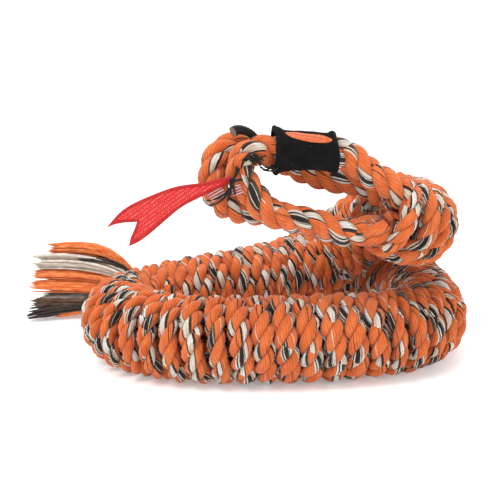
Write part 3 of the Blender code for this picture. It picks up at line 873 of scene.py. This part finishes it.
def build_tongue(material):
    """Flat embroidered tongue: raised satin border round a ribbed fill, slightly curled."""
    border = tongue_border()
    closed = np.vstack((border, border[:1]))
    start, step = closed[:-1], np.diff(closed, axis=0)

    def rim_distance(spots):
        offset = spots[:, None, :] - start[None, :, :]
        share = (offset * step[None]).sum(2) / np.maximum((step ** 2).sum(1), 1e-9)[None]
        nearest = start[None] + step[None] * np.clip(share, 0, 1)[..., None]
        return np.linalg.norm(spots[:, None, :] - nearest, axis=2).min(axis=1)

    def inside(spots):
        x, y = spots[:, :1], spots[:, 1:]
        crosses = (start[:, 1] > y) != (closed[1:, 1] > y)
        climb = closed[1:, 1] - start[:, 1]
        edge_x = step[:, 0] * (y - start[:, 1]) / np.where(climb == 0, 1e-9, climb) + start[:, 0]
        return (crosses & (x < edge_x)).sum(axis=1) % 2 == 1

    pitch = 0.75
    x, y = np.meshgrid(np.arange(0.4, 70, pitch), np.arange(-13, 13, pitch))
    x = x + (np.arange(len(x))[:, None] % 2) * pitch / 2
    grid = np.column_stack((x.ravel(), y.ravel()))
    grid = grid[inside(grid)]
    grid = grid[rim_distance(grid) > 0.42]
    flat = np.vstack((border, grid))
    count = len(border)
    edges = [(i, (i + 1) % count) for i in range(count)]
    spots, _, faces, _, _, _ = delaunay_2d_cdt([Vector(p) for p in flat], edges, [], 1, 1e-5)
    spots = np.array([(p[0], p[1]) for p in spots])
    depth = rim_distance(spots)
    depth[depth < 1e-4] = 0.0
    half = 0.28 + 0.62 * np.sqrt(np.clip(depth / 0.75, 0, 1)) - 0.30 * np.clip((depth - 1.35) / 0.5, 0, 1)
    half = half + 0.05 * np.sin((spots[:, 0] + 1.4 * spots[:, 1]) * TAU / 1.35) * (depth > 1.5)
    d, o = spots[:, 0], spots[:, 1]
    along = np.array((-math.cos(TONGUE_TILT), 0.0, -math.sin(TONGUE_TILT)))
    across = np.array((-math.sin(TONGUE_TILT), 0.0, math.cos(TONGUE_TILT)))
    bow = -1.6 * np.sin(math.pi * np.clip(d / 66, 0, 1)) + 0.9 * (o / 12) ** 2
    bow = bow + 0.5 * np.sin(d * 0.22 + o * 0.12)
    middle = TONGUE_ROOT + d[:, None] * along + o[:, None] * across + bow[:, None] * np.array((0.0, 1.0, 0.0))
    normal = np.array((0.0, -1.0, 0.0))
    verts = np.vstack((middle + normal * half[:, None], middle - normal * half[:, None])) * MM + SHIFT
    total = len(spots)
    build = Build()
    build.verts.append(verts)
    build.count = 2 * total
    rim_of = {}
    for face in faces:
        face = list(face)
        if np.cross(spots[face[1]] - spots[face[0]], spots[face[2]] - spots[face[0]]) > 0:
            face = face[::-1]
        for order, shift in ((face, 0), (face[::-1], total)):
            build.face([k + shift for k in order], spots[order], [(0.4, depth[k]) for k in order])
        for a, b in zip(face, face[1:] + face[:1]):
            key = (min(a, b), max(a, b))
            rim_of[key] = None if key in rim_of else (a, b)
    for pair in rim_of.values():
        if pair:
            a, b = pair
            build.face([b, a, a + total, b + total], spots[[b, a, a, b]],
                       [(0.4, depth[k]) for k in (b, a, a, b)])
    item = clean(build.object("forked_tongue", material))
    area = 0.5 * abs(np.sum(closed[:-1, 0] * closed[1:, 1] - closed[1:, 0] * closed[:-1, 1])) * 1e-6
    return item, float(area)


tongue, tongue_area = build_tongue(tongue_material())
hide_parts("tongue")
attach(tongue, "tongue_flap")


# ---------------------------------------------------------------- trims of the head

THREAD_LAY = 1.6 * MM            # length of one turn of its plies


def add_thread(build, path, radius, tag, taper=0.0):
    """Add one two-ply thread, plump in the middle, as a tube with a spiral ridge."""
    count = max(6, int(arc_length(path)[-1] / (radius * 0.45)))
    path = resample(path, count)
    _, a, b = transport_frames(path)
    ring = TAU * np.arange(7) / 7
    twist = TAU * arc_length(path) / THREAD_LAY
    bulge = 1.0 + 0.16 * np.cos(2 * (ring[None, :] - twist[:, None] / 2))
    end = np.minimum(np.arange(count), np.arange(count)[::-1])
    size = radius * (1.0 - taper * np.linspace(0, 1, count)) * np.clip(0.55 + end * 0.25, 0, 1)
    rings = sweep(path, a, b, np.cos(ring) * bulge * size[:, None], np.sin(ring) * bulge * size[:, None])
    build.tube(rings, np.zeros(count), arc_length(path) / MM, tag, np.cos(ring))


def thread_material(name, base, light):
    n, u, v, tag, _ = cloth_nodes(name)
    fibres = n.grain((u, 14.0), (v, 1.6), tag, detail=3.0, roughness=0.65)
    shade = n.grain((tag, 3.1), (v, 0.3), detail=1.0)
    colour = n.shade(n.mix(n.range(fibres, 0.35, 0.75), base, light), n.range(shade, 0.3, 0.7, 0.7, 1.2))
    return n.finish(colour, n.range(fibres, 0.3, 0.7, 0.70, 0.92), fibres, 0.0002, sheen=0.06)


black_thread = thread_material("black_thread", (0.005, 0.004, 0.004), (0.032, 0.025, 0.021))


def build_knot():
    """Tangle of doubled black thread on the cheek, with its tails."""
    build = Build()
    rng = random.Random(11)
    centre = np.array((-10.4, -101.6, 129.6))
    for number in range(12):
        heading = rng.uniform(-0.9, 0.5)
        reach = rng.uniform(1.6, 3.6)
        middle = centre + np.array((rng.uniform(-1.9, 2.2), rng.uniform(-0.9, 0.3), rng.uniform(-1.5, 1.3)))
        points = []
        for t in (-1.0, -0.55, 0.0, 0.5, 1.0):
            offset = (reach * t * math.cos(heading), 0.9 * t * t - 0.5 * abs(math.cos(4 * t)),
                      reach * t * math.sin(heading) + 0.9 * math.sin(3.0 * t + number))
            points.append(middle + np.array(offset))
        add_thread(build, smooth_path(points), rng.uniform(0.45, 0.70) * MM, 0.2 + 0.13 * number, taper=0.2)
    tails = (
        [(-11, -102.4, 130), (-15, -102.6, 130.4), (-17.4, -102.6, 129.0)],
        [(-9, -102.0, 129.6), (-6.6, -101.6, 130.8), (-4.4, -100.6, 131.6)],
        [(-8, -101.8, 126.0), (-5.0, -101.6, 124.2), (-2.4, -100.6, 124.8), (0.9, -99.8, 124.2)],
        [(-6.4, -101.8, 124.4), (-3.6, -101.2, 123.6), (-0.6, -100.2, 123.6), (1.6, -99.4, 124.6)],
        [(-5.4, -101.4, 125.6), (-2.8, -101.2, 125.4), (0.2, -100.4, 125.0)],
    )
    for number, points in enumerate(tails):
        add_thread(build, smooth_path(points), 0.58 * MM, 0.9 + 0.17 * number, taper=0.35)
    return build.object("cheek_thread_knot", black_thread)


def build_mouth_threads():
    """Black threads that tie the tongue and the labels in the mouth."""
    build = Build()
    routes = (
        [(-18.4, -103.6, 125.0), (-20.0, -105.8, 122.0), (-21.5, -107.0, 120.2), (-22.6, -107.6, 118.0)],
        [(-19.8, -103.2, 126.0), (-20.4, -106.0, 121.8), (-21.8, -107.4, 119.0), (-22.8, -107.6, 116.2)],
        [(-16.8, -104.8, 119.4), (-19.4, -106.6, 119.4), (-21.8, -107.6, 118.0), (-23.4, -107.6, 114.8)],
        [(-22.6, -107.2, 119.0), (-23.0, -107.8, 115.2), (-23.8, -107.4, 111.4), (-24.8, -106.4, 108.0)],
        [(-23.2, -107.2, 118.6), (-21.2, -108.0, 115.0), (-20.6, -107.8, 111.6)],
        [(-22.8, -107.2, 115.8), (-26.4, -106.4, 111.8), (-31.0, -105.4, 109.2), (-36.0, -101.2, 107.6)],
        [(-23.0, -107.2, 115.0), (-26.0, -106.6, 110.4), (-30.0, -105.4, 107.0), (-34.6, -101.4, 105.2)],
        [(-20.8, -107.0, 119.6), (-22.4, -108.4, 120.4), (-23.2, -108.0, 118.6), (-22.2, -107.8, 117.2),
         (-20.8, -107.4, 118.4)],
    )
    for number, points in enumerate(routes):
        radius = (0.75 if number < 4 else 0.62) * MM
        add_thread(build, smooth_path(points), radius, 0.3 + 0.21 * number, taper=0.2)
    return build.object("mouth_threads", black_thread)


def label_material():
    """Off-white woven tape with plain red stripes along it, and no lettering."""
    n, u, v, tag, _ = cloth_nodes("woven_label")
    weave = n.mul(n.wave(u, 0.30), n.wave(v, 0.38))
    wander = n.grain((u, 0.5), (v, 0.5), (tag, 3.0))
    stripes = n.math("SINE", n.plus(n.mul(v, TAU / 1.55), n.mul(wander, 2.0)))
    stain = n.grain((u, 0.4), (v, 0.4), tag)
    colour = n.mix(n.range(stain, 0.35, 0.7), (0.72, 0.66, 0.62), (0.52, 0.40, 0.37))
    colour = n.mix(n.range(stripes, -0.35, 0.15), colour, (0.50, 0.030, 0.034))
    # painted shade: the gaps between the woven threads are darkened
    colour = n.mix(n.range(weave, 0.0, 0.5, 0.35, 0.0), colour, (0.16, 0.10, 0.09))
    return n.finish(colour, n.range(wander, 0.3, 0.7, 0.75, 0.95), weave, 0.0002, sheen=0.06)


def build_label(name, corner, along, across, size, curl, tag, material):
    """Folded end of woven tape, curled along its length, with a ragged free edge."""
    along, across = unit(np.array(along, float)), unit(np.array(across, float))
    across = unit(across - (across @ along) * along)
    normal = np.cross(along, across)
    rows, columns = 22, 18
    s = np.linspace(0, 1, rows)[:, None] * np.ones((1, columns))
    t = np.linspace(-0.5, 0.5, columns)[None, :] * np.ones((rows, 1))
    rng = np.random.RandomState(int(tag * 100))
    ragged = 1.0 + 0.06 * rng.uniform(-1, 1, columns)[None, :] * (s > 0.97)
    d, o = s * size[0] * ragged, t * size[1] * (1.0 - 0.12 * s)
    lift = curl * (s ** 2) * size[0] * 0.5 + 0.28 * np.sin(9 * s + 4 * t) + 0.5 * (2 * t) ** 2 * (1 - s)
    points = np.array(corner, float) + d[..., None] * along + o[..., None] * across + lift[..., None] * normal
    return cloth_sheet(name, material, points * MM + SHIFT, np.broadcast_to(normal, points.shape),
                       s[:, 0] * size[0], t[0] * size[1], tag, 0.55 * MM)


knot = build_knot()
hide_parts("cheek_knot")
mouth = build_mouth_threads()
woven = label_material()
label_left = build_label("label_tab_left", (-26.2, -105.0, 113.4), (-1.0, 0.10, -0.52), (-0.42, 0.0, 0.9),
                         (8.6, 6.0), -0.25, 0.35, woven)
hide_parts("mouth_label_left")
label_right = build_label("label_tab_right", (-22.4, -106.6, 113.2), (0.93, -0.05, 0.34), (-0.3, 0.05, 0.95),
                          (5.8, 5.2), 0.25, 0.85, woven)
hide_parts("mouth_label_right")
for piece, slot in ((knot, "black_tape"), (mouth, "black_tape"), (label_left, "label_weave"),
                    (label_right, "label_weave")):
    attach(piece, "head")


def tape_material():
    n, u, v, tag, _ = cloth_nodes("ribbed_black_tape")
    rib = n.wave(v, 0.75)
    grain = n.grain((u, 26.0), (v, 1.8), tag, detail=3.0, roughness=0.6)
    colour = n.mix(n.range(grain, 0.4, 0.75), (0.004, 0.0035, 0.0035), (0.022, 0.018, 0.015))
    # painted shade: the grooves between the ribs darken to black
    colour = n.mix(n.range(rib, 0.0, 0.5, 0.8, 0.0), colour, (0.003, 0.003, 0.003))
    end = n.grain((u, 9.0), (v, 2.4), 3.0, detail=3.0, roughness=0.7)
    cut = n.ramp(end, [(0.36, (0.035, 0.018, 0.012)), (0.46, (0.20, 0.10, 0.06)), (0.53, (0.50, 0.38, 0.30)),
                       (0.62, (0.10, 0.05, 0.03))])
    colour = n.mix(n.math("LESS_THAN", tag, 0.5), colour, cut)
    return n.finish(colour, n.range(grain, 0.3, 0.7, 0.62, 0.85), n.plus(n.mul(rib, 0.8), n.mul(grain, 0.4)),
                    0.0004, sheen=0.05, specular=0.25)


def build_crown_tape(material):
    """Ribbed black tape wrapped round the cut end of a rope on the crown of the head."""
    points = [(-22.4, -90.2, 142.8), (-20.0, -88.4, 143.9), (-16.2, -86.4, 143.2), (-12.4, -85.2, 141.0),
              (-9.4, -84.4, 137.6)]
    path = smooth_path(points, 16)
    count, sides = len(path), 26
    _, a, b = transport_frames(path)
    ring = TAU * np.arange(sides) / sides
    t = np.linspace(0, 1, count)
    size = (3.1 - 0.8 * t + 0.12 * np.sin(t * TAU * 11)) * MM
    flat = 1.0 + 0.14 * np.cos(2 * ring)
    rings = sweep(path, a, b, np.cos(ring) * size[:, None] * 0.86, np.sin(ring) * flat * size[:, None] * 1.05)
    build = Build()
    build.tube(rings, np.zeros(count), arc_length(path) / MM, 1.0, np.cos(ring), caps=False)
    # cut end: a crowned, ragged disc inside the mouth of the tape, and a plain one at the far end
    rng = np.random.RandomState(4)
    ahead = unit(path[0] - path[2])
    for centre, way, first_ring, tag in ((path[0], ahead, rings[0], 0.2), (path[-1], -ahead, rings[-1], 1.0)):
        base = build.count
        steps = 6
        discs = []
        for step in range(steps + 1):
            share = 1.0 - step / (steps + 0.35)
            crown = (0.55 * (1 - share ** 2) + (0.28 * rng.uniform(-1, 1, sides) * (0 < step < steps))) * MM
            discs.append(centre + (first_ring - centre) * share + way * crown[:, None])
        build.verts.append(np.vstack(discs))
        build.count += (steps + 1) * sides
        for step in range(steps):
            for s in range(sides):
                k = (s + 1) % sides
                spots = [(step, s), (step, k), (step + 1, k), (step + 1, s)]
                build.face([base + row * sides + j for row, j in spots],
                           [(j / sides, row) for row, j in spots], np.full((4, 2), tag))
        build.face([base + steps * sides + s for s in range(sides)],
                   [(s / sides, steps) for s in range(sides)], np.full((sides, 2), tag))
    return clean(build.object("crown_tape_wrap", material), merge=1e-7)


crown = build_crown_tape(tape_material())
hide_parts("crown_tape")
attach(crown, "head")


# ---------------------------------------------------------------- tail

TAIL_TIP = np.array((-98.0, 60.0, 14.5))
# Locks of yarn: colour, tip, arch, spread at the tip, number of yarns, place round the root
TASSEL_LOCKS = [
    ("orange", (-158, 60, 46.5), 0.95, (4.4, 3.8), 48, 90),
    ("black", (-140, 57, 39.5), 0.85, (4.0, 1.5), 14, 75),
    ("cream", (-168, 55, 38.2), 0.75, (4.6, 6.0), 50, 60),
    ("orange", (-168, 51, 29.5), 0.5, (4.4, 3.0), 32, 35),
    ("orange", (-169, 49, 22.5), 0.3, (4.4, 3.0), 34, 10),
    ("grey", (-164, 46, 15.0), 0.1, (4.4, 2.0), 16, -5),
    ("brown", (-168, 43, 11.0), -0.2, (4.6, 2.6), 24, -12),
    ("black", (-168, 40, 6.5), -0.3, (4.6, 2.4), 26, -20),
    ("black", (-170, 36, 2.8), -0.4, (4.2, 1.4), 14, -30),
    ("orange", (-152, 43, 3.6), -0.2, (4.0, 1.2), 14, -60),
    ("brown", (-160, 69, 15), 0.2, (4.4, 4.0), 22, 200),
    ("orange", (-164, 68, 30), 0.5, (4.4, 5.0), 34, 150),
]
TASSEL_SHADES = {
    "orange": ((0.60, 0.10, 0.020), (0.84, 0.27, 0.08)),
    "cream": ((0.50, 0.43, 0.36), (0.74, 0.68, 0.60)),
    "grey": ((0.10, 0.085, 0.075), (0.26, 0.23, 0.21)),
    "black": ((0.010, 0.008, 0.007), (0.050, 0.036, 0.028)),
    "brown": ((0.045, 0.022, 0.013), (0.13, 0.075, 0.045)),
}


YARN_SAMPLES = 26


def build_tassel(materials):
    """Locks of brushed-out yarn that rise from the tail tip, lie over and hang at their tips."""
    rng = random.Random(23)
    builds = {}
    for shade, tip, arch, spread, yarns, place in TASSEL_LOCKS:
        build = builds.setdefault(shade, Build())
        turn = math.radians(place)
        root_side = np.array((0.0, -8.6 * math.cos(turn), 8.6 * math.sin(turn)))
        for _ in range(yarns):
            angle, far = rng.uniform(0, TAU), math.sqrt(rng.uniform(0, 1))
            cross = np.array((0.0, math.cos(angle) * far, math.sin(angle) * far))
            start = TAIL_TIP + np.array((2.0, 0.0, 0.0)) + root_side * rng.uniform(0.8, 1.06) + cross * 2.3
            stop = np.array(tip, float) + cross * np.array((0, spread[0], spread[1]))
            stop[0] += rng.uniform(-3.5, 3.5) - 1.0 * far
            wave, sway = rng.uniform(0, TAU), rng.uniform(0.4, 1.3)
            points = []
            for step in range(9):
                t = step / 8
                rise = 1 - (1 - t) ** (1.0 + 2.7 * arch) if arch >= 0 else t ** (1.0 - 2.0 * arch)
                spot = start * (1 - t) + stop * t
                spot[2] = start[2] * (1 - rise) + stop[2] * rise
                spot[2] += 1.8 * arch * math.sin(math.pi * min(1.0, t * 1.05)) * (1 - 0.6 * t)
                spot = spot + cross * np.array((0.0, 1.3, 0.9)) * math.sin(math.pi * min(t * 0.8 + 0.05, 1.0))
                spot[1] += sway * math.sin(wave + 5.0 * t) * t
                spot[2] += 0.55 * sway * math.sin(wave * 1.7 + 6.0 * t) * t
                spot[2] = max(spot[2], 1.1)
                points.append(spot)
            add_yarn(build, smooth_path(points, 4), rng.uniform(0.60, 1.05) * MM, rng.uniform(0.0, 9.0))
    return {shade: build.object("tassel_yarn_" + shade, materials[shade]) for shade, build in builds.items()}


def add_yarn(build, path, radius, tag):
    """Add one soft yarn that narrows at its ends and stays above the floor."""
    at = np.arange(YARN_SAMPLES)
    path = resample(path, YARN_SAMPLES)
    _, a, b = transport_frames(path)
    ring = TAU * np.arange(6) / 6
    size = radius * np.clip(0.75 + at * 0.06, 0, 1) * np.clip(0.25 + at[::-1] * 0.22, 0, 1)
    size = size * (1.0 + 0.10 * np.sin(at * 1.7 + tag))
    rings = sweep(path, a, b, np.cos(ring) * size[:, None], np.sin(ring) * size[:, None])
    rings[:, :, 2] = np.maximum(rings[:, :, 2], 0.25 * MM)
    build.tube(rings, np.zeros(YARN_SAMPLES), arc_length(path) / (4 * MM), tag, np.cos(ring))


tassel_materials = {shade: plain_yarn_material("tassel_" + shade, *colours)
                    for shade, colours in TASSEL_SHADES.items()}
tassel = build_tassel(tassel_materials)
TASSEL_NODES = {
    "orange": ["tassel_bundle_1", "tassel_bundle_2", "tassel_bundle_3", "tassel_bundle_5"],
    "cream": ["tassel_bundle_8"],
    "brown": ["tassel_bundle_6"],
    "black": ["tassel_bundle_7"],
    "grey": ["tassel_bundle_4"],
}
for shade, piece in tassel.items():
    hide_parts(*TASSEL_NODES[shade])
    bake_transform(piece)


def build_whipping():
    """Black thread wound round the tail end to bind it."""
    ahead = unit(np.array(BODY_ROUTE[1][:3], float) - TAIL_TIP)
    side = unit(np.cross(ahead, (0.0, 0.0, 1.0)))
    up = np.cross(side, ahead)
    points = []
    for i in range(3 * 40 + 1):
        angle = TAU * i / 40
        back = -0.4 - 1.5 * i / 120
        reach = 13.3 - 0.35 * i / 120
        points.append(TAIL_TIP + ahead * back + (side * math.cos(angle) + up * math.sin(angle)) * reach)
    build = Build()
    add_thread(build, np.array(points) * MM + SHIFT, 0.75 * MM, 0.4)
    return build.object("tail_whipping_thread", black_thread)


whipping = build_whipping()
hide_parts("tail_whipping")
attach(whipping, "coil")


# ---------------------------------------------------------------- stage

def build_floor():
    """Round pale floor that curves up into a pale wall on every side."""
    bm = bmesh.new()
    flat, curve, steps, around = 1.7, 0.9, 12, 64
    profile = [(0.5, 0.0), (1.1, 0.0)]
    for i in range(steps + 1):
        angle = i / steps * math.pi / 2
        profile.append((flat + curve * math.sin(angle), curve * (1 - math.cos(angle))))
    profile.append((flat + curve, 2.6))
    rows = [[bm.verts.new((reach * math.cos(TAU * k / around), reach * math.sin(TAU * k / around), z))
             for k in range(around)] for reach, z in profile]
    bm.faces.new(rows[0])
    for first, second in zip(rows, rows[1:]):
        for k in range(around):
            following = (k + 1) % around
            bm.faces.new((first[k], second[k], second[following], first[following]))
    bmesh.ops.recalc_face_normals(bm, faces=bm.faces)
    mesh = bpy.data.meshes.new("floor")
    bm.to_mesh(mesh)
    bm.free()
    for face in mesh.polygons:
        face.use_smooth = True
    item = bpy.data.objects.new("floor", mesh)
    n = Nodes("pale_floor")
    geometry = n.add("ShaderNodeNewGeometry")
    grain = n.noise(geometry.outputs["Position"], 40.0, 3.0)
    n.put(n.shader.inputs["Base Color"], n.mix(grain, (0.90, 0.90, 0.895), (0.94, 0.94, 0.935)))
    n.shader.inputs["Roughness"].default_value = 0.8
    n.shader.inputs["Emission Color"].default_value = (1.0, 1.0, 1.0, 1.0)
    n.shader.inputs["Emission Strength"].default_value = FLOOR_GLOW
    mesh.materials.append(n.material)
    bpy.context.scene.collection.objects.link(item)


LIGHT_TARGET = Vector((0.0, 0.0, 0.05))
WORLD_LIGHT = 0.48
FLOOR_GLOW = 0.22                # lifts the floor to the white of the photograph's background


def add_area(name, place, size, power):
    """Square light of so many metres and watts that faces the object."""
    data = bpy.data.lights.new(name, "AREA")
    data.shape = "SQUARE"
    data.size = size
    data.energy = power
    item = bpy.data.objects.new(name, data)
    item.location = place
    item.rotation_euler = (LIGHT_TARGET - Vector(place)).to_track_quat("-Z", "Y").to_euler()
    bpy.context.scene.collection.objects.link(item)


build_floor()
add_area("key", (-0.6, -0.7, 1.4), 0.7, 13.5)
add_area("fill", (1.1, -0.8, 0.8), 1.0, 3.5)
add_area("top", (0.0, 0.3, 1.6), 1.4, 18.0)
world = bpy.data.worlds.new("world")
bpy.context.scene.world = world
world.use_nodes = True
world.node_tree.nodes["Background"].inputs[0].default_value = (1.0, 1.0, 1.0, 1.0)
world.node_tree.nodes["Background"].inputs[1].default_value = WORLD_LIGHT
bpy.context.scene.view_settings.view_transform = "Standard"
